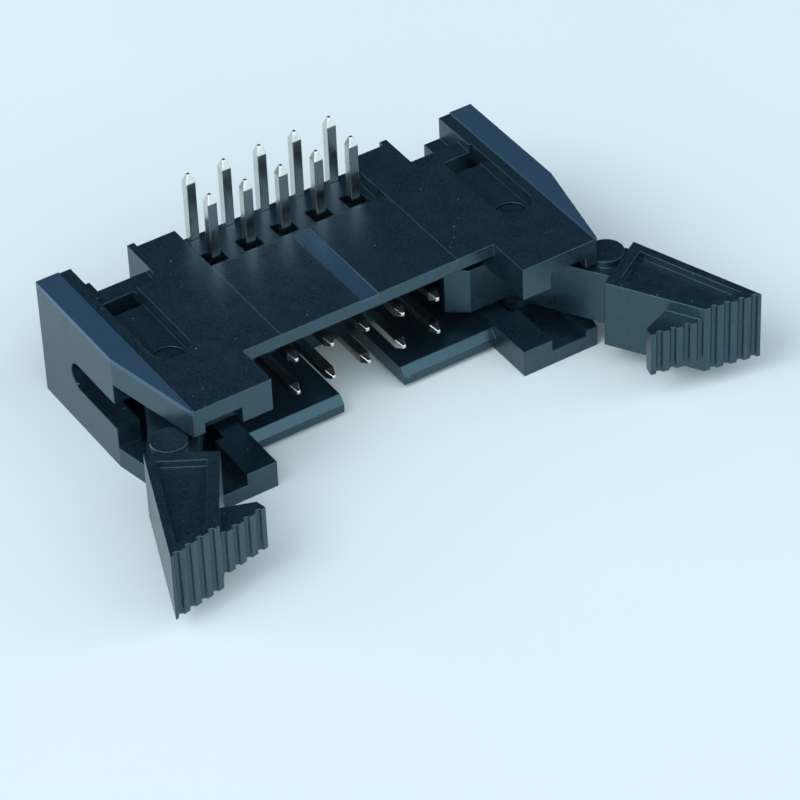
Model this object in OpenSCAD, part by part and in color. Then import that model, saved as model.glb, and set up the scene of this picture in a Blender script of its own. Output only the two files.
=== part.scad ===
// Right-angle box header with ejector latches: two rows of square pins on a
// 2.54 mm grid in a shrouded housing, solder tails bent up out of the back, and
// an ejector latch hinged in a tower at each end, standing open.
// X runs along the pin rows, -Y faces the mating plug, +Z is the board side.
// The origin is the centre of the housing's footprint, on the plane it lies on.

/* [Contacts] */
// Number of pin columns
columns = 5; // [3:1:10]
// Distance between neighbouring pins
pitch = 2.54; // [2.4:0.02:2.7]
// Side of the square pin wire
pin_w = 0.64; // [0.5:0.02:0.7]
// Length of a pin in front of the pin wall
mating_len = 5.95; // [5:0.05:7]
// Height of the solder tail above the board face
tail_len = 3.9; // [2.5:0.1:5]
// Distance from the back face to the far row of tails, at the wire's centre
far_tail_inset = 0.06; // [0:0.02:1]
// Inside radius of the bend in a pin
bend_r = 0.3; // [0.1:0.05:0.5]
// Length of the tapered tip of a pin
tip_len = 0.6; // [0.2:0.1:0.9]
// Side of the small flat at the end of a tip, as a share of the wire
tip_share = 0.35; // [0.2:0.05:0.8]

/* [Housing] */
// Height of the board face above the underside
housing_h = 8.3; // [7.8:0.1:10]
// Depth of the main block, cavity edge to back face
block_depth = 12.5; // [12:0.1:14]
// How far the towers stand out behind the main block
tower_step = 0.4; // [0:0.1:1]
// How far the tower arms reach in front of the cavity edge
arm_reach = 3.2; // [2.6:0.1:4]
// Width of the plug cavity beyond the outer pin columns, each side
cavity_margin = 3.87; // [3.5:0.01:4.2]
// Thickness of the main block outside the cavity width, behind the pin wall
block_cheek = 0.5; // [0.3:0.1:1.2]
// Height of the lower pin row above the underside
row_z = 2.95; // [2.7:0.05:3.6]
// Thickness of the board-side cavity wall
upper_wall = 0.9; // [0.7:0.05:1.4]
// Thickness of the key-side cavity wall
lower_wall = 1.1; // [0.7:0.05:1.2]
// Height of the key-side wall above the underside
standoff = 0.35; // [0.1:0.05:0.6]
// Width of the polarising slot in the key-side wall
key_w = 4.4; // [4:0.1:5]
// How far the pin tips stay behind the cavity edge
tip_inset = 0.4; // [0.2:0.1:1.5]
// Lead-in chamfer on the edge of the key-side wall
lead_in = 0.5; // [0.2:0.05:0.6]
// Width of the moulded witness strip down the middle of the board face
strip_w = 1.3; // [0.8:0.1:2]
// Depth of that strip
strip_d = 0.08; // [0.04:0.02:0.15]

/* [Tail comb] */
// Depth of the recess round the tails, below the board face
comb_d = 0.95; // [0.5:0.05:1.4]
// Length of the recess, from the back face
comb_len = 4.5; // [4:0.1:5.5]
// Width of the recess beyond the outer pin columns, each side
comb_margin = 1.2; // [0.8:0.05:2]
// Width of the pocket round each near tail
pocket_w = 1.4; // [1:0.05:1.8]
// Depth of that pocket below the recess floor
pocket_d = 0.75; // [0.3:0.05:1]
// Space round a pin in its hole, each side
pin_fit = 0.02; // [0.01:0.01:0.05]

/* [Towers] */
// Width of the latch bay, from the cavity to the outer wall
bay_w = 5.3; // [5.1:0.1:6]
// Thickness of the outer wall of a tower
outer_wall = 1.6; // [1.2:0.1:2.2]
// Length of the tapered nose of the outer wall
nose_len = 7; // [6:0.1:8]
// How far that nose draws in at its tip
nose_draw = 1.45; // [0.8:0.05:2]
// Thickness of the key-side floor of the bay
bay_floor = 1.05; // [0.8:0.05:1.3]
// Thickness of the board-side roof of the bay
bay_roof = 1.3; // [1.2:0.05:1.6]
// Thickness of the back wall of the bay
bay_back = 1.3; // [0.8:0.1:1.8]
// Length of the open notch behind that back wall
notch_len = 2.2; // [1.5:0.1:2.8]
// Width of the low corner block left in the notch
corner_block_w = 1.17; // [0.6:0.05:1.6]
// Depth of that block below the board face
corner_block_d = 1.6; // [1:0.1:3]
// Distance from the notch's outer side to the bay's outer wall
notch_side = 0.825; // [0.6:0.025:1.2]
// Radius of the inner corner of the notch
notch_r = 1; // [0.5:0.1:1.2]
// Depth of the shelf behind the window, below the board face
shelf_d = 0.6; // [0.3:0.05:0.8]
// How far that shelf reaches forwards beside the window
shelf_lip = 0.4; // [0.2:0.1:0.8]
// Height of the raised rail along the outer edge
rail_h = 0.1; // [0.05:0.05:0.3]
// Width of the window recess and of the front channel
channel_w = 2.55; // [2.4:0.05:3]
// Depth of the window recess
window_d = 0.95; // [0.6:0.05:1.05]
// Length of the window recess in front of its rounded end's centre, to the shelf
window_len = 6.35; // [5.5:0.05:6.8]
// Length of the through slot at the back of the window
window_slot = 1; // [0.6:0.1:1.4]
// Thickness of the upper guide rib beside the front channel
upper_rib = 1; // [0.7:0.05:1.2]
// Thickness of the lower guide rib beside the front channel
lower_rib = 0.85; // [0.6:0.05:1]
// Length of the wide part of the guide ribs
rib_len = 3.8; // [3:0.1:4.2]
// Height of the slot in the outer wall
side_slot_h = 1.95; // [1.5:0.05:2.5]
// Length of the slot behind the nose
side_slot_len = 5.4; // [4:0.1:6]

/* [Latches] */
// How far the latches stand open
open_angle = 31.4; // [20:0.2:34]
// Distance from the cavity's end wall to the hinge axis
hinge_x = 3.35; // [3.3:0.05:3.5]
// Distance from the cavity edge back to the hinge axis
hinge_y = 3.05; // [2.9:0.05:3.3]
// Radius of the hinge trunnion
trunnion_r = 1; // [0.8:0.05:1.1]
// Radial clearance of the trunnion in its hole
hinge_fit = 0.06; // [0.02:0.01:0.1]
// Radius of the hub round the hinge
hub_r = 1.75; // [1.5:0.05:1.8]
// Clearance of the latch between floor and roof of its bay
latch_gap = 0.15; // [0.1:0.01:0.3]
// Width of the neck between hub and grip
neck_w = 3; // [2.6:0.1:3.2]
// How far the neck is set inwards of the hinge axis
neck_shift = 0.2; // [0:0.05:0.3]
// Distance from the hinge axis to the detent boss
boss_reach = 6.4; // [6:0.05:6.6]
// Radius of the detent boss
boss_r = 1.15; // [0.9:0.05:1.2]
// Height of the detent boss above the neck
boss_h = 0.5; // [0.3:0.05:0.6]
// Clearance of the boss between the guide ribs
boss_fit = 0.08; // [0.05:0.01:0.15]
// How far outside the end of the cavity the closed grip stays
grip_clear = 0.33; // [0.3:0.01:0.5]
// Distance from the hinge axis to the back of the grip
grip_start = 7.6; // [7.6:0.05:8.2]
// Length of the grip, back edge to outer corner
grip_len = 9.2; // [8:0.1:10]
// Width of the grip at its back edge
grip_w = 4.5; // [4:0.1:4.6]
// Width of the grip at the outer corner of the finger face
grip_tip_w = 2.75; // [2:0.05:3.2]
// Thickness of the grip
grip_t = 4.8; // [4.6:0.1:5]
// Slope of the finger face
finger_angle = 43; // [35:1:48]
// Reach of the hook beyond the grip's inner edge
hook_reach = 2.6; // [2:0.1:3]
// Thickness of the hook
hook_t = 3.1; // [2.4:0.1:3.6]
// Distance from the hinge axis to the underside of the hook
hook_start = 11.7; // [11.4:0.05:12]
// Length of the bevel at the tip of the hook
hook_bevel = 0.5; // [0.3:0.1:0.8]
// How far the tip of the hook hangs back past its root
hook_hang = 0.4; // [0.2:0.1:0.6]
// Depth of the pocket in each face of the grip
grip_pocket_d = 0.5; // [0.2:0.05:0.8]
// Width of the rim round that pocket
grip_rim = 0.75; // [0.5:0.05:1.1]
// Rim left beside the pocket at the outer corner of the finger face
pocket_side = 0.3; // [0.2:0.05:0.6]
// Distance of the pocket from that corner, along the latch
pocket_nose = 1.2; // [0.9:0.05:1.6]
// Distance of the pocket from the inner end of the finger face
pocket_heel = 0.2; // [0.1:0.05:0.6]
// Radius of the flutes in the finger face
flute_r = 0.22; // [0.15:0.01:0.3]
// Distance between the flutes
flute_pitch = 0.9; // [0.7:0.05:1.2]
// Thickness of the ejector foot
foot_t = 3.3; // [2.4:0.1:3.6]
// Reach of the ejector foot inwards from the hinge axis
foot_reach = 4.9; // [4.2:0.1:5.2]
// How far the foot's end reaches behind the hinge axis
foot_back = 3; // [2.6:0.1:3.1]
// Length of the foot's inner face
foot_face = 2.1; // [1.6:0.1:2.4]
// Width of the foot's end
foot_end_w = 1.4; // [1:0.1:1.8]
// Bevel on the corners of the foot's inner face
foot_bevel = 0.6; // [0.3:0.1:0.8]

/* [Hidden] */
$fn = 48;
eps = 0.02;
over = 1;

housing_depth = arm_reach + block_depth + tower_step;
y_arm = -housing_depth / 2;
y_edge = y_arm + arm_reach;
y_block = y_edge + block_depth;
y_back = y_block + tower_step;
y_tips = y_edge + tip_inset;
y_wall = y_tips + mating_len;

span_x = (columns - 1) * pitch / 2;
cavity_x = span_x + cavity_margin;
block_x = cavity_x + block_cheek;
bay_x = cavity_x + bay_w;
outer_x = bay_x + outer_wall;
pivot_x = cavity_x + hinge_x;
pivot_y = y_edge + hinge_y;
y_nose = y_arm + nose_len;

cavity_z0 = standoff + lower_wall;
cavity_z1 = housing_h - upper_wall;
bay_z0 = bay_floor;
bay_z1 = housing_h - bay_roof;
rib_z0 = bay_z0 + lower_rib;
rib_z1 = bay_z1 - upper_rib;
mid_z = (rib_z0 + rib_z1) / 2;
neck_t = rib_z1 - rib_z0 - 2 * latch_gap;
hub_t = bay_z1 - bay_z0 - 2 * latch_gap;
tooth_gap = boss_h - latch_gap + boss_fit;

far_y = y_block - far_tail_inset;
near_y = far_y - pitch;
tail_z = housing_h + tail_len;
y_comb = y_block - comb_len;
comb_x = span_x + comb_margin;

y_bay = y_back - notch_len - bay_back;
y_notch = y_back - notch_len;
y_shelf = pivot_y + window_len;
notch_x1 = bay_x - notch_side;
block_in_x = notch_x1 - corner_block_w;

pin_names = [for (c = [1:columns]) for (row = ["upper", "lower"]) str(row, "_pin_", c)];

// A box given by its two opposite corners.
module span_box(low, high) {
    translate(low) cube(high - low);
}

// A flat profile in Y and Z, extruded to the width w about x = 0.
module across(w) {
    rotate([90, 0, 90]) linear_extrude(w, center = true) children();
}

// The side of one pin as a bent strip of thickness t: level in the housing at
// height z, then up at depth y, with a rounded bend between the two legs.
module pin_strip(y, z, t, front, top) {
    turn = bend_r + t / 2;
    translate([front, z - t / 2]) square([y - turn - front, t]);
    translate([y - t / 2, z + turn]) square([t, top - z - turn]);
    translate([y - turn, z + turn]) intersection() {
        difference() {
            circle(turn + t / 2);
            circle(bend_r);
        }
        translate([0, -2 * turn]) square(2 * turn);
    }
}

// The four-sided taper at the end of a pin, along +Z.
module pin_tip() {
    linear_extrude(tip_len, scale = tip_share) square(pin_w, center = true);
}

module pin(column, z, y) {
    translate([(column - 1) * pitch - span_x, 0, 0]) color("silver") {
        across(pin_w) pin_strip(y, z, pin_w, y_tips + tip_len, tail_z - tip_len);
        translate([0, y_tips + tip_len, z]) rotate([90, 0, 0]) pin_tip();
        translate([0, y, tail_z - tip_len]) pin_tip();
    }
}

module upper_pin(column) { pin(column, row_z + pitch, near_y); }
module lower_pin(column) { pin(column, row_z, far_y); }

// The passages that hold one column of pins, and the groove and pocket at its tails.
module pin_passages() {
    wide = pin_w + 2 * pin_fit;
    for (row = [[row_z + pitch, near_y], [row_z, far_y]])
        across(wide) pin_strip(row[1], row[0], wide, y_wall - eps, housing_h + eps);
    span_box([-wide / 2, far_y, row_z - wide / 2], [wide / 2, y_block + eps, housing_h + eps]);
    span_box([-pocket_w / 2, near_y - pin_w, housing_h - comb_d - pocket_d],
             [pocket_w / 2, near_y + pin_w, housing_h]);
}

// The outline of one tower seen from the board side, nose forwards.
module tower_outline() {
    polygon([
        [cavity_x, y_arm], [outer_x - nose_draw, y_arm], [outer_x, y_nose],
        [outer_x, y_back], [cavity_x, y_back]
    ]);
}

// The obround path of the window and of the channel in front of it.
module channel_outline(front, back) {
    translate([pivot_x - channel_w / 2, front]) square([channel_w, back - front]);
}

module window_outline() {
    translate([pivot_x, pivot_y]) circle(channel_w / 2);
    channel_outline(pivot_y, y_shelf);
}

// The bay that the latch turns in, with the guide ribs left standing.
module bay_cut() {
    rib_x = pivot_x - channel_w / 2;
    tooth_x = pivot_x + channel_w / 2;
    difference() {
        span_box([cavity_x - eps, y_arm - eps, bay_z0], [bay_x, y_bay, bay_z1]);
        for (z = [[bay_z0 - eps, rib_z0], [rib_z1, bay_z1 + eps]]) {
            span_box([0, y_arm - over, z[0]], [rib_x, y_arm + rib_len, z[1]]);
            span_box([0, y_arm, z[0]], [pivot_x - hub_r - latch_gap, y_wall, z[1]]);
            span_box([0, y_wall - eps, z[0]], [block_x, y_back, z[1]]);
        }
        span_box([0, y_wall, bay_z0 - over], [block_x, y_back, bay_z1 + over]);
        span_box([tooth_x, y_arm - over, rib_z1 + tooth_gap],
                 [bay_x + over, y_arm + rib_len, bay_z1 + over]);
        span_box([tooth_x, y_arm - over, bay_z0 - over],
                 [bay_x + over, y_arm + rib_len, rib_z0 - tooth_gap]);
    }
}

// The openings in the outer wall: the mouth beside the nose and the slot behind it.
module side_openings() {
    slot_r = side_slot_h / 2;
    slot_y = y_nose + side_slot_len - slot_r;
    span_box([bay_x - eps, y_arm - eps, rib_z0 - tooth_gap],
             [outer_x + over, y_nose, rib_z1 + tooth_gap]);
    span_box([bay_x - eps, y_nose - eps, mid_z - slot_r],
             [outer_x + over, slot_y, mid_z + slot_r]);
    translate([bay_x - eps, slot_y, mid_z]) rotate([0, 90, 0])
        cylinder(outer_wall + over, r = slot_r);
}

// The shelf round the notch, with a rounded inner corner.
module shelf_outline() {
    front = y_shelf - shelf_lip;
    depth = y_back - front + over;
    translate([block_x + notch_r, front]) square([notch_x1 - block_x - notch_r, depth]);
    translate([block_x, front + notch_r]) square([2 * notch_r, depth]);
    translate([block_x + notch_r, front + notch_r]) circle(notch_r);
}

// The stepped notch between the main block and the back of a tower.
module notch_cut() {
    span_box([block_x, y_notch, -over], [block_in_x, y_back + over, housing_h + over]);
    span_box([block_in_x - eps, y_notch, housing_h - corner_block_d],
             [notch_x1, y_back + over, housing_h + over]);
    translate([0, 0, housing_h - shelf_d]) linear_extrude(shelf_d + over) shelf_outline();
}

// One tower as it stands at the right-hand end.
module tower() {
    difference() {
        union() {
            linear_extrude(housing_h) tower_outline();
            linear_extrude(housing_h + rail_h) intersection() {
                tower_outline();
                translate([bay_x, y_arm]) square([outer_wall + over, housing_depth]);
            }
        }
        bay_cut();
        side_openings();
        notch_cut();
        translate([0, 0, housing_h - window_d]) linear_extrude(window_d + over) window_outline();
        translate([0, 0, bay_z1 - eps]) linear_extrude(bay_roof)
            channel_outline(y_shelf - window_slot, y_shelf);
        translate([0, 0, bay_z1 - eps]) linear_extrude(latch_gap)
            channel_outline(y_arm - over, pivot_y - hub_r);
        translate([pivot_x, pivot_y, -over])
            cylinder(housing_h + 2 * over, r = trunnion_r + hinge_fit);
    }
}

// The main block: cavity, key slot, tail comb and pin passages.
module main_block() {
    top = housing_h + over;
    front = y_edge - over;
    difference() {
        span_box([-block_x, y_edge, standoff], [block_x, y_block, housing_h]);
        span_box([-cavity_x, front, cavity_z0], [cavity_x, y_wall, cavity_z1]);
        span_box([-key_w / 2, front, -over], [key_w / 2, y_wall, cavity_z0 + over]);
        span_box([-comb_x, y_comb, housing_h - comb_d], [comb_x, y_back, top]);
        span_box([-strip_w / 2, front, housing_h - strip_d], [strip_w / 2, y_back, top]);
        for (c = [1:columns]) translate([(c - 1) * pitch - span_x, 0, 0]) pin_passages();
        translate([0, y_edge, cavity_z0]) rotate([45, 0, 0])
            cube([2 * cavity_x, lead_in * sqrt(2), lead_in * sqrt(2)], center = true);
        for (side = [0, 1]) mirror([side, 0, 0])
            span_box([cavity_x - eps, front, rib_z0], [block_x + eps, y_wall, rib_z1]);
    }
}

module housing() {
    color([0.1, 0.11, 0.13]) {
        main_block();
        for (side = [0, 1]) mirror([1 - side, 0, 0]) tower();
    }
}

// The grip and hook outlines in the closed latch's own frame: hinge at the
// origin, grip towards -Y, outside towards +X.
grip_in = grip_clear - hinge_x;
grip_out = grip_in + grip_w;
finger_x = grip_in + grip_tip_w;
finger_y = -grip_start - grip_len;
function finger_at(x) = finger_y + (finger_x - x) * tan(finger_angle);
hook_x = grip_in - hook_reach;

module grip_outline() {
    polygon([
        [grip_in, -grip_start], [grip_out, -grip_start],
        [finger_x, finger_y], [grip_in, finger_at(grip_in)]
    ]);
}

module hook_outline() {
    root_x = grip_in + over;
    polygon([
        [root_x, -hook_start], [root_x, finger_at(root_x)], [hook_x, finger_at(hook_x)],
        [hook_x + hook_bevel, hook_hang - hook_start], [grip_in, -hook_start]
    ]);
}

module foot_outline() {
    polygon([
        [0, -hub_r], [foot_bevel - foot_reach, foot_back - foot_face],
        [-foot_reach, foot_back - foot_bevel], [foot_bevel - foot_reach, foot_back],
        [foot_end_w - foot_reach, foot_back], [0, hub_r]
    ]);
}

// The pocket in each face of the grip.
module pocket_outline() {
    polygon([
        [grip_in + grip_rim, -grip_start - grip_rim],
        [grip_out - grip_rim, -grip_start - grip_rim],
        [finger_x - pocket_side, finger_y + pocket_nose],
        [grip_in + grip_rim, finger_at(grip_in) + pocket_heel]
    ]);
}

module plate(thickness) {
    translate([0, 0, -thickness / 2]) linear_extrude(thickness) children();
}

// One latch about its hinge axis, closed, mid-plane at z = 0.
module latch_closed() {
    face_len = (finger_x - hook_x) / cos(finger_angle);
    trunnion_len = hub_t + 2 * (latch_gap + bay_roof - window_d);
    difference() {
        union() {
            cylinder(hub_t, r = hub_r, center = true);
            cylinder(trunnion_len, r = trunnion_r, center = true);
            plate(neck_t) translate([-neck_w / 2 - neck_shift, -grip_start - over])
                square([neck_w, grip_start + over]);
            translate([0, -boss_reach, 0]) cylinder(neck_t + 2 * boss_h, r = boss_r, center = true);
            plate(grip_t) grip_outline();
            plate(hook_t) hook_outline();
            plate(foot_t) foot_outline();
        }
        for (side = [-1, 1]) translate([0, 0, side * grip_t / 2])
            plate(2 * grip_pocket_d) pocket_outline();
        for (i = [1:floor(face_len / flute_pitch)]) {
            x = finger_x - (i - 1 / 2) * flute_pitch * cos(finger_angle);
            translate([x, finger_at(x), 0]) cylinder(grip_t + over, r = flute_r, center = true);
        }
    }
}

module latch_at_right() {
    translate([pivot_x, pivot_y, mid_z]) rotate(open_angle) latch_closed();
}

module right_latch() { color([0.12, 0.13, 0.15]) latch_at_right(); }
module left_latch() { color([0.12, 0.13, 0.15]) mirror([1, 0, 0]) latch_at_right(); }

housing();
left_latch();
right_latch();
for (c = [1:columns]) {
    upper_pin(c);
    lower_pin(c);
}
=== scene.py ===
"""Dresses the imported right-angle box header: moulded housing and latches, plated pins, floor,
light and camera."""
from math import cos, pi, radians, sin

import bmesh
import bpy
from bpy.props import FloatProperty, FloatVectorProperty, IntProperty, PointerProperty
from mathutils import Matrix, Vector


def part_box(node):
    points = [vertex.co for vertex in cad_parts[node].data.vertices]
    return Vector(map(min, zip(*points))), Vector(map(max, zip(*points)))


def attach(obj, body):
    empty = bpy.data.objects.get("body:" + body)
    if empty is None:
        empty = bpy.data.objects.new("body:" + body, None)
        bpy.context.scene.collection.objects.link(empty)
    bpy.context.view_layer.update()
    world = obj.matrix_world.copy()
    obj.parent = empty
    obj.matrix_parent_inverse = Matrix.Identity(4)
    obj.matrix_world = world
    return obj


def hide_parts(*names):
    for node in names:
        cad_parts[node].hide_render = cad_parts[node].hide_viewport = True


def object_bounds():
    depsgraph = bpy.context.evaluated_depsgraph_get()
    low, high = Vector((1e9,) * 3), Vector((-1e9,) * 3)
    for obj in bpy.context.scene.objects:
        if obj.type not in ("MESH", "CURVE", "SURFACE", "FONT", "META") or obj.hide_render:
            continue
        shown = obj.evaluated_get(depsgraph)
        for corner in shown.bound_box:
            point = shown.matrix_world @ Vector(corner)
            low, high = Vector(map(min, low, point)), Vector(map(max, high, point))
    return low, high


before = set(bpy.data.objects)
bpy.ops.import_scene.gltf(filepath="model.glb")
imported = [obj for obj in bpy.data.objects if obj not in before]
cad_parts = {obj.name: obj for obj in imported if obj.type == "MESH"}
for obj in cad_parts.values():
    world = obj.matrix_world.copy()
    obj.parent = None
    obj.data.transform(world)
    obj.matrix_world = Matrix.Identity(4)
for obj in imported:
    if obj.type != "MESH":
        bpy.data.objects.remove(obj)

bl_info = {
    "name": "Box Header Looks",
    "version": (1, 0, 0),
    "blender": (4, 5, 0),
    "location": "3D View > Sidebar > Box Header",
    "description": "Finishes a right-angle latched box header around its packed solids",
    "category": "Object",
}

CAD_BOX = [list(map(float, corner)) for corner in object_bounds()]
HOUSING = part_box("housing")
COLUMNS = sum(name.startswith("upper_pin_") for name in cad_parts)
MM = 0.001

# Colours laid on the plastic: a painted sheen, lighter than the plastic, that stands in for the
# brighter reflection of its polished parts; dust; and a mould line.
PAINTED_SHEEN = (0.020, 0.044, 0.075, 1)
DUSTY = (0.20, 0.25, 0.30, 1)
MOULD_LINE = (0.030, 0.048, 0.068, 1)
MOULD_LINE_HALF = 0.05 * MM
TOP_DEPTH = 0.3 * MM
GRAIN_RELIEF = 0.012 * MM
TIN_RELIEF = 0.003 * MM
TIN_PATCH = 0.9 * MM
EDGE_SAMPLES = 6

# Points closer than this are one point, and edges sharper than this are rounded.
WELD = 0.0005 * MM
SHARP = radians(32)
BEND_STEPS = 10

ROOM_COLOUR = (0.80, 0.93, 1.0, 1)
LAMP_COLOUR = (0.93, 0.97, 1.0)
LAMP_SIZE = 0.4
LAMP_PLACE = (-0.45, -0.1, 0.5)
SENSOR_WIDTH = 36
CAMERA_RANGE = (0.01, 10)


# ---------------------------------------------------------------- sizes and colours

class HousingSettings(bpy.types.PropertyGroup):
    edge: FloatProperty(
        name="Edge radius", description="Radius that the mould leaves on the housing's edges",
        default=0.11 * MM, min=0.01 * MM, max=0.2 * MM, unit="LENGTH", precision=5)
    # On the top, the rails and the middle strip are painted lighter, a painted sheen for their
    # brighter reflection.
    rail: FloatProperty(
        name="Rail width", description="Width of the smooth rail along each end",
        default=1.6 * MM, min=1 * MM, max=2.4 * MM, unit="LENGTH", precision=5)
    strip: FloatProperty(
        name="Strip width", description="Width of the smoother strip down the middle",
        default=1.3 * MM, min=0.5 * MM, max=3 * MM, unit="LENGTH", precision=5)
    witness: FloatProperty(
        name="Witness lines", description="Distance of the mould's witness lines from the middle",
        default=6.3 * MM, min=3 * MM, max=9 * MM, unit="LENGTH", precision=5)
    comb_front: FloatProperty(
        name="Line length", description="Depth at which the strip and the lines end",
        default=3.15 * MM, min=0, max=5 * MM, unit="LENGTH", precision=5)
    grain: FloatProperty(
        name="Grain size", description="Size of the spark-eroded grain on the flat faces",
        default=0.16 * MM, min=0.05 * MM, max=0.5 * MM, unit="LENGTH", precision=5)
    colour: FloatVectorProperty(
        name="Colour", description="Colour of the housing's moulded plastic",
        subtype="COLOR", size=3, min=0, max=1, default=(0.004, 0.009, 0.014))


class LatchSettings(bpy.types.PropertyGroup):
    edge: FloatProperty(
        name="Edge radius", description="Radius that the mould leaves on a latch's edges",
        default=0.12 * MM, min=0.01 * MM, max=0.2 * MM, unit="LENGTH", precision=5)
    colour: FloatVectorProperty(
        name="Colour", description="Colour of the latches' moulded plastic",
        subtype="COLOR", size=3, min=0, max=1, default=(0.004, 0.009, 0.013))


class PinSettings(bpy.types.PropertyGroup):
    columns: IntProperty(
        name="Columns", description="Number of pins in a row", default=COLUMNS, min=2, max=20)
    bend: FloatProperty(
        name="Bend radius", description="Inside radius of the bend in a pin",
        default=0.3 * MM, min=0.1 * MM, max=0.6 * MM, unit="LENGTH", precision=5)
    tip: FloatProperty(
        name="Tip length", description="Length of the coined taper at each end of a pin",
        default=0.6 * MM, min=0.2 * MM, max=1 * MM, unit="LENGTH", precision=5)
    flat: FloatProperty(
        name="Tip flat", description="Side of the flat at the end of a tip, as a share of the wire",
        default=0.35, min=0.1, max=0.9)
    edge: FloatProperty(
        name="Edge radius", description="Radius on the corners of the wire",
        default=0.05 * MM, min=0.01 * MM, max=0.15 * MM, unit="LENGTH", precision=5)
    colour: FloatVectorProperty(
        name="Colour", description="Colour of the tin plate",
        subtype="COLOR", size=3, min=0, max=1, default=(0.62, 0.62, 0.60))


class StageSettings(bpy.types.PropertyGroup):
    floor_size: FloatProperty(
        name="Floor size", description="Side of the square floor",
        default=1.2, min=0.2, max=5, unit="LENGTH")
    floor_colour: FloatVectorProperty(
        name="Floor colour", description="Colour of the floor",
        subtype="COLOR", size=3, min=0, max=1, default=(0.70, 0.75, 0.76))
    room: FloatProperty(
        name="Room light", description="Strength of the pale room",
        default=1.945, min=0, max=5)
    card: FloatVectorProperty(
        name="Card colour", description="Colour of the dark card that the flat tops reflect",
        subtype="COLOR", size=3, min=0, max=1, default=(0.025, 0.04, 0.065))
    card_edge: FloatProperty(
        name="Card edge", description="Where the card ends, as a cosine from its middle",
        default=0.33, min=0, max=1)
    card_core: FloatProperty(
        name="Card core", description="Where the card is darkest, as a cosine from its middle",
        default=0.74, min=0, max=1)
    lamp: FloatProperty(
        name="Lamp power", description="Power of the soft lamp, in watts",
        default=1.5, min=0, max=50)
    azimuth: FloatProperty(
        name="Azimuth", description="Direction of the camera round the header",
        default=radians(-31.289), subtype="ANGLE")
    elevation: FloatProperty(
        name="Elevation", description="Height of the camera above the horizon",
        default=radians(39.677), subtype="ANGLE")
    roll: FloatProperty(
        name="Roll", description="Tilt of the camera about its own axis",
        default=radians(-2.514), subtype="ANGLE")
    distance: FloatProperty(
        name="Distance", description="Distance of the camera from its target",
        default=259.76 * MM, min=0.05, max=3, unit="LENGTH")
    lens: FloatProperty(
        name="Focal length", description="Focal length of the camera, in millimetres",
        default=189, min=20, max=500)
    target: FloatVectorProperty(
        name="Target", description="Point that the camera looks at",
        subtype="TRANSLATION", size=3, default=(2.04 * MM, -4.45 * MM, -1.022 * MM))


# ---------------------------------------------------------------- shader expressions

class Value:
    """A shader socket that takes part in sums and products, each of which adds its Math node."""

    def __init__(self, shader, socket):
        self.shader, self.socket = shader, socket

    def math(self, operation, *others):
        return self.shader.add("ShaderNodeMath", {"operation": operation}, *others)

    def __add__(self, other):
        return self.math("ADD", self, other)

    def __radd__(self, other):
        return self.math("ADD", other, self)

    def __sub__(self, other):
        return self.math("SUBTRACT", self, other)

    def __rsub__(self, other):
        return self.math("SUBTRACT", other, self)

    def __mul__(self, other):
        return self.math("MULTIPLY", self, other)

    def __abs__(self):
        return self.math("ABSOLUTE", self)

    def above(self, edge):
        return self.math("GREATER_THAN", self, edge)


class Shader:
    """One material's node tree."""

    def __init__(self, name):
        self.material = bpy.data.materials.new(name)
        self.material.use_nodes = True
        self.tree = self.material.node_tree
        self.surface = self.tree.nodes["Principled BSDF"]

    def link(self, value, socket):
        if isinstance(value, Value):
            self.tree.links.new(value.socket, socket)
        else:
            socket.default_value = value

    def add(self, kind, settings=(), *values, out=0, **named):
        """Adds a node: its settings first, then its inputs in order or by name."""
        node = self.tree.nodes.new(kind)
        for key, setting in dict(settings).items():
            setattr(node, key, setting)
        for index, value in enumerate(values):
            self.link(value, node.inputs[index])
        for key, value in named.items():
            self.link(value, node.inputs[key.replace("_", " ")])
        return Value(self, node.outputs[out])

    def place(self):
        return self.add("ShaderNodeTexCoord", out="Object")

    def axes(self, vector):
        split = self.add("ShaderNodeSeparateXYZ", (), vector).socket.node
        return [Value(self, socket) for socket in split.outputs]

    def noise(self, vector, scale, detail=2.0, roughness=0.5):
        return self.add("ShaderNodeTexNoise", (), Vector=vector, Scale=scale, Detail=detail,
                        Roughness=roughness)

    def ramp(self, value, low, high):
        """0 below low, 1 above high, straight between."""
        return self.add("ShaderNodeMapRange", {"clamp": True}, value, low, high, 0.0, 1.0)

    def mix(self, share, first, second):
        """A colour between two colours, each a tuple or a socket."""
        node = self.tree.nodes.new("ShaderNodeMix")
        node.data_type = "RGBA"
        factor, start, end = node.inputs[0], node.inputs[6], node.inputs[7]
        for value, socket in ((share, factor), (first, start), (second, end)):
            self.link(value, socket)
        return Value(self, node.outputs[2])

    def relief(self, height, distance, strength, edge):
        """A normal with fine relief, on edges that are shaded as if rounded to a radius."""
        rounded = self.add("ShaderNodeBevel", {"samples": EDGE_SAMPLES}, Radius=edge)
        return self.add("ShaderNodeBump", (), Height=height, Distance=distance,
                        Strength=strength, Normal=rounded)

    def set(self, **inputs):
        for key, value in inputs.items():
            self.link(value, self.surface.inputs[key.replace("_", " ")])


# ---------------------------------------------------------------- materials

def rgba(colour, share=1.0):
    return (*[channel * share for channel in colour], 1)


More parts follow.
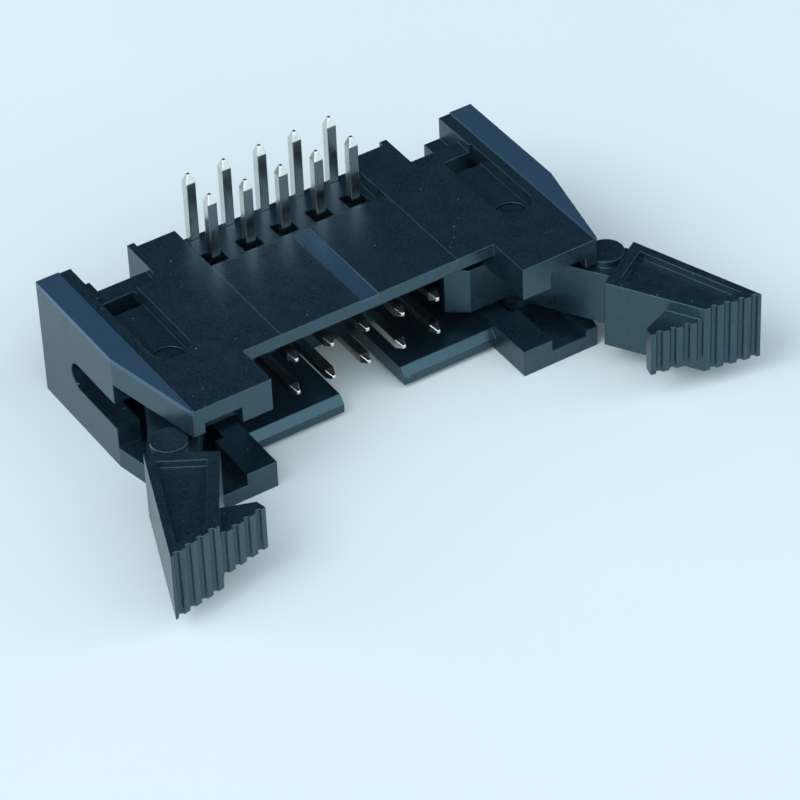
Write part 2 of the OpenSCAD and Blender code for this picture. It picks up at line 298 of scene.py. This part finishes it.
def plastic(name, colour, grain, edge, marks=None):
    """Moulded blue-black plastic: fine grain, faint haze and a little dust, on edges shaded as
    rounded. Marks adds the housing's witness lines and its smooth rails and middle strip, which are
    painted lighter on the top as a painted sheen for their brighter reflection."""
    shader = Shader(name)
    place = shader.place()
    x, y, z = shader.axes(place)
    fine = shader.noise(place, 1 / grain, detail=3, roughness=0.6)
    coarse = shader.noise(place, 0.12 / grain, detail=4, roughness=0.6)
    haze = shader.ramp(coarse, 0.45, 0.8)
    dust = shader.noise(place, 0.55 / grain, detail=1.5, roughness=0.7)
    specks = shader.ramp(dust, 0.735, 0.79)
    speckle = shader.ramp(fine, 0.35, 0.8)
    painted_sheen, lines = 0.0, 0.0
    if marks:
        on_top = z.above(HOUSING[1][2] - TOP_DEPTH)
        rail = abs(x).above(HOUSING[1][0] - marks.rail)
        strip = 1 - abs(x).above(marks.strip / 2)
        before_comb = 1 - y.above(marks.comb_front)
        # Painted sheen: the rails, and the middle strip in front of the comb, are painted lighter
        # on the top for their brighter reflection.
        painted_sheen = on_top * (rail + strip * before_comb * 0.8)
        from_line = abs(abs(x) - marks.witness)
        lines = on_top * before_comb * (1 - from_line.above(MOULD_LINE_HALF))
        speckle = speckle * (1 - rail * on_top)
    body = shader.mix(speckle, rgba(colour, 0.5), rgba(colour, 2.4))
    body = shader.mix(haze * 0.3, body, rgba(colour, 3.0))
    # The painted sheen: a lighter colour that stands in for the brighter reflection of the polished
    # rails and strip.
    body = shader.mix(painted_sheen, body, PAINTED_SHEEN)
    body = shader.mix(specks * 0.6, body, DUSTY)
    body = shader.mix(lines * 0.6, body, MOULD_LINE)
    shader.set(Base_Color=body, Roughness=0.27 + speckle * 0.12 + haze * 0.08 + specks * 0.2)
    height = fine * 0.7 + coarse * 0.5 - lines * 4
    normal = shader.relief(height, GRAIN_RELIEF, 0.5, edge)
    shader.set(Normal=normal, IOR=1.85, Specular_Tint=(0.48, 0.82, 1.0, 1))
    return shader.material


def tin_plate(name, colour, edge):
    """Bright tin, slightly dull in patches."""
    shader = Shader(name)
    place = shader.place()
    patches = shader.noise(place, 1 / TIN_PATCH, detail=2, roughness=0.5)
    dull = shader.ramp(patches, 0.4, 0.75)
    tint = shader.mix(dull * 0.4, rgba(colour), rgba(colour, 0.7))
    normal = shader.relief(patches, TIN_RELIEF, 0.4, edge)
    shader.set(Base_Color=tint, Metallic=1.0, Roughness=0.2 + dull * 0.1, Normal=normal)
    return shader.material


def floor_paint(name, colour):
    """Matt pale paint with the faintest mottle."""
    shader = Shader(name)
    mottle = shader.noise(shader.place(), 40.0, detail=2)
    tone = shader.mix(shader.ramp(mottle, 0.3, 0.7), rgba(colour, 0.985), rgba(colour))
    shader.set(Base_Color=tone, Roughness=0.75)
    return shader.material


# ---------------------------------------------------------------- meshes

def new_piece(name, mesh, material):
    """An object at the origin with one material."""
    piece = bpy.data.objects.new(name, mesh)
    bpy.context.scene.collection.objects.link(piece)
    piece.data.materials.clear()
    piece.data.materials.append(material)
    return piece


def freeze(piece):
    """Turns a piece and its modifiers into a plain mesh."""
    graph = bpy.context.evaluated_depsgraph_get()
    solid = bpy.data.meshes.new_from_object(piece.evaluated_get(graph), depsgraph=graph)
    solid.name = piece.name
    piece.modifiers.clear()
    piece.data = solid


def round_edges(piece, radius):
    """Rounds every sharp edge in the mesh itself."""
    bevel = piece.modifiers.new("Edges", "BEVEL")
    bevel.width = radius
    bevel.segments = 2
    bevel.limit_method = "ANGLE"
    bevel.angle_limit = SHARP
    bevel.use_clamp_overlap = True
    bevel.miter_outer = "MITER_ARC"
    freeze(piece)


def moulded_copy(node, name, material):
    """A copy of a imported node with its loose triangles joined."""
    form = bmesh.new()
    form.from_mesh(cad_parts[node].data)
    bmesh.ops.remove_doubles(form, verts=form.verts, dist=WELD)
    mesh = bpy.data.meshes.new(name)
    form.to_mesh(mesh)
    form.free()
    return new_piece(name, mesh, material)


# ---------------------------------------------------------------- pins

def wire_ring(form, centre, side, width):
    """Four corners of the wire about a point, square to its run."""
    across = Vector((1, 0, 0))
    half = width / 2
    corners = ((-1, -1), (1, -1), (1, 1), (-1, 1))
    return [form.verts.new(centre + across * half * a + side * half * b) for a, b in corners]


def wire_mesh(name, box, settings):
    """One bent pin, centred on x = 0: mating tip forwards, tail up."""
    low, high = map(Vector, box)
    width = high.x - low.x
    level, upright = low.z + width / 2, high.y - width / 2
    turn = settings.bend + width / 2
    stations = [(Vector((0, low.y, level)), 0, settings.flat),
                (Vector((0, low.y + settings.tip, level)), 0, 1)]
    for step in range(BEND_STEPS + 1):
        angle = pi / 2 * step / BEND_STEPS
        centre = Vector((0, upright - turn + turn * sin(angle), level + turn - turn * cos(angle)))
        stations.append((centre, angle, 1))
    stations.append((Vector((0, upright, high.z - settings.tip)), pi / 2, 1))
    stations.append((Vector((0, upright, high.z)), pi / 2, settings.flat))
    form = bmesh.new()
    rings = []
    for centre, angle, share in stations:
        side = Vector((0, -sin(angle), cos(angle)))
        rings.append(wire_ring(form, centre, side, width * share))
    for first, second in zip(rings, rings[1:]):
        for i in range(4):
            form.faces.new((first[i], first[(i + 1) % 4], second[(i + 1) % 4], second[i]))
    form.faces.new(rings[0])
    form.faces.new(reversed(rings[-1]))
    bmesh.ops.recalc_face_normals(form, faces=form.faces)
    mesh = bpy.data.meshes.new(name)
    form.to_mesh(mesh)
    form.free()
    return mesh


def row_tree():
    """Repeats the object's own mesh in a straight row and gives it its material."""
    tree = bpy.data.node_groups.new("Pin row", "GeometryNodeTree")
    face = tree.interface
    face.new_socket("Pin", in_out="INPUT", socket_type="NodeSocketGeometry")
    for label, kind in (("Count", "NodeSocketInt"), ("First", "NodeSocketVector"),
                        ("Step", "NodeSocketVector"), ("Plate", "NodeSocketMaterial")):
        face.new_socket(label, in_out="INPUT", socket_type=kind)
    face.new_socket("Row", in_out="OUTPUT", socket_type="NodeSocketGeometry")
    nodes, links = tree.nodes, tree.links
    source, result = nodes.new("NodeGroupInput"), nodes.new("NodeGroupOutput")
    line = nodes.new("GeometryNodeMeshLine")
    line.mode = "OFFSET"
    spread = nodes.new("GeometryNodeInstanceOnPoints")
    real = nodes.new("GeometryNodeRealizeInstances")
    paint = nodes.new("GeometryNodeSetMaterial")
    links.new(source.outputs["Count"], line.inputs["Count"])
    links.new(source.outputs["First"], line.inputs["Start Location"])
    links.new(source.outputs["Step"], line.inputs["Offset"])
    links.new(line.outputs["Mesh"], spread.inputs["Points"])
    links.new(source.outputs["Pin"], spread.inputs["Instance"])
    links.new(spread.outputs["Instances"], real.inputs["Geometry"])
    links.new(real.outputs["Geometry"], paint.inputs["Geometry"])
    links.new(source.outputs["Plate"], paint.inputs["Material"])
    links.new(paint.outputs["Geometry"], result.inputs["Row"])
    return tree


def pin_row(row, name, settings, material):
    """A whole row of pins as one mesh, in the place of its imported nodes."""
    names = [f"{row}_pin_{column + 1}" for column in range(settings.columns)]
    first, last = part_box(names[0]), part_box(names[-1])
    centre = (first[0][0] + first[1][0]) / 2
    step = (last[0][0] - first[0][0]) / (settings.columns - 1)
    piece = new_piece(name, wire_mesh(name, first, settings), material)
    round_edges(piece, settings.edge)
    tree = row_tree()
    row_maker = piece.modifiers.new("Row", "NODES")
    row_maker.node_group = tree
    inputs = {"Count": settings.columns, "First": (centre, 0, 0), "Step": (step, 0, 0),
              "Plate": material}
    for item in tree.interface.items_tree:
        if item.in_out == "INPUT" and item.name in inputs:
            row_maker[item.identifier] = inputs[item.name]
    freeze(piece)
    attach(piece, "header")
    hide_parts(*names)


# ---------------------------------------------------------------- operators

class BOXHEADER_OT_housing(bpy.types.Operator):
    """Give the housing its moulded finish, with edges shaded as rounded"""
    bl_idname = "boxheader.housing"
    bl_label = "Housing"

    def execute(self, context):
        settings = context.scene.box_header_housing
        finish = plastic("housing plastic", settings.colour, settings.grain, settings.edge,
                         settings)
        piece = moulded_copy("housing", "header_moulding", finish)
        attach(piece, "header")
        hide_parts("housing")
        return {"FINISHED"}


class BOXHEADER_OT_latches(bpy.types.Operator):
    """Give both latches their moulded finish, with edges shaded as rounded"""
    bl_idname = "boxheader.latches"
    bl_label = "Latches"

    def execute(self, context):
        settings = context.scene.box_header_latches
        grain = context.scene.box_header_housing.grain
        finish = plastic("latch plastic", settings.colour, grain, settings.edge)
        for side in ("left", "right"):
            piece = moulded_copy(f"{side}_latch", f"{side}_ejector_moulding", finish)
            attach(piece, f"{side}_ejector")
            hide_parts(f"{side}_latch")
        return {"FINISHED"}


class BOXHEADER_OT_pins(bpy.types.Operator):
    """Lay out both rows of bent, plated pins"""
    bl_idname = "boxheader.pins"
    bl_label = "Pins"

    def execute(self, context):
        settings = context.scene.box_header_pins
        plate = tin_plate("tin plate", settings.colour, settings.edge)
        pin_row("upper", "upper_contacts", settings, plate)
        pin_row("lower", "lower_contacts", settings, plate)
        return {"FINISHED"}


class BOXHEADER_OT_stage(bpy.types.Operator):
    """Set the pale floor, the soft light and the camera"""
    bl_idname = "boxheader.stage"
    bl_label = "Stage"

    def execute(self, context):
        settings = context.scene.box_header_stage
        lay_floor(settings)
        light_room(context.scene, settings)
        aim_camera(context.scene, settings)
        context.scene.view_settings.view_transform = "Standard"
        return {"FINISHED"}


def lay_floor(settings):
    """A square floor that the header lies on."""
    form = bmesh.new()
    bmesh.ops.create_grid(form, x_segments=1, y_segments=1, size=settings.floor_size / 2)
    for corner in form.verts:
        corner.co.z = CAD_BOX[0][2]
    mesh = bpy.data.meshes.new("floor")
    form.to_mesh(mesh)
    form.free()
    new_piece("floor", mesh, floor_paint("floor paint", settings.floor_colour))


def light_room(scene, settings):
    """A pale room with a dark card beyond the part, which keeps the flat tops dark, and one
    soft lamp."""
    world = bpy.data.worlds.new("room")
    world.use_nodes = True
    scene.world = world
    nodes, links = world.node_tree.nodes, world.node_tree.links
    place = nodes.new("ShaderNodeTexCoord")
    towards = nodes.new("ShaderNodeVectorMath")
    towards.operation = "DOT_PRODUCT"
    a, e = settings.azimuth, settings.elevation
    towards.inputs[1].default_value = (-sin(a) * cos(e), cos(a) * cos(e), sin(e))
    links.new(place.outputs["Generated"], towards.inputs[0])
    ramp = nodes.new("ShaderNodeValToRGB")
    ramp.color_ramp.interpolation = "EASE"
    stops = ((settings.card_edge, ROOM_COLOUR), (settings.card_core, (*settings.card, 1)))
    for stop, (where, colour) in zip(ramp.color_ramp.elements, stops):
        stop.position, stop.color = where, colour
    links.new(towards.outputs["Value"], ramp.inputs["Fac"])
    links.new(ramp.outputs["Color"], nodes["Background"].inputs["Color"])
    nodes["Background"].inputs["Strength"].default_value = settings.room
    lamp = bpy.data.lights.new("soft box", "AREA")
    lamp.shape, lamp.size, lamp.energy = "DISK", LAMP_SIZE, settings.lamp
    lamp.color = LAMP_COLOUR
    holder = bpy.data.objects.new("soft box", lamp)
    scene.collection.objects.link(holder)
    stand = Vector(LAMP_PLACE)
    holder.location = stand
    holder.rotation_euler = (-stand).to_track_quat("-Z", "Y").to_euler()


def aim_camera(scene, settings):
    """Points the camera at its target, turned by its roll."""
    a, e, r = settings.azimuth, settings.elevation, settings.roll
    back = Vector((sin(a) * cos(e), -cos(a) * cos(e), sin(e)))
    level = Vector((0, 0, 1)).cross(back).normalized()
    up = back.cross(level)
    right = cos(r) * level + sin(r) * up
    top = -sin(r) * level + cos(r) * up
    camera = bpy.data.cameras.new("camera")
    camera.lens, camera.sensor_width = settings.lens, SENSOR_WIDTH
    camera.clip_start, camera.clip_end = CAMERA_RANGE
    holder = bpy.data.objects.new("camera", camera)
    scene.collection.objects.link(holder)
    turn = Matrix((right, top, back)).transposed().to_4x4()
    place = Vector(settings.target) + back * settings.distance
    holder.matrix_world = Matrix.Translation(place) @ turn
    scene.camera = holder


class BOXHEADER_PT_panel(bpy.types.Panel):
    """Sizes, colours and the steps that use them"""
    bl_label = "Box Header"
    bl_idname = "BOXHEADER_PT_panel"
    bl_space_type = "VIEW_3D"
    bl_region_type = "UI"
    bl_category = "Box Header"

    def draw(self, context):
        for operator, group in STEPS:
            column = self.layout.column()
            settings = getattr(context.scene, group)
            for key in settings.__annotations__:
                column.prop(settings, key)
            column.operator(operator.bl_idname)


GROUPS = (
    ("box_header_housing", HousingSettings),
    ("box_header_latches", LatchSettings),
    ("box_header_pins", PinSettings),
    ("box_header_stage", StageSettings),
)
STEPS = (
    (BOXHEADER_OT_housing, "box_header_housing"),
    (BOXHEADER_OT_latches, "box_header_latches"),
    (BOXHEADER_OT_pins, "box_header_pins"),
    (BOXHEADER_OT_stage, "box_header_stage"),
)


def register():
    for name, group in GROUPS:
        bpy.utils.register_class(group)
        setattr(bpy.types.Scene, name, PointerProperty(type=group))
    for operator, _ in STEPS:
        bpy.utils.register_class(operator)
    bpy.utils.register_class(BOXHEADER_PT_panel)


def unregister():
    bpy.utils.unregister_class(BOXHEADER_PT_panel)
    for operator, _ in reversed(STEPS):
        bpy.utils.unregister_class(operator)
    for name, group in reversed(GROUPS):
        delattr(bpy.types.Scene, name)
        bpy.utils.unregister_class(group)


def main():
    register()
    bpy.ops.boxheader.housing()
    bpy.ops.boxheader.latches()
    bpy.ops.boxheader.pins()
    bpy.ops.boxheader.stage()


if __name__ == "__main__":
    main()
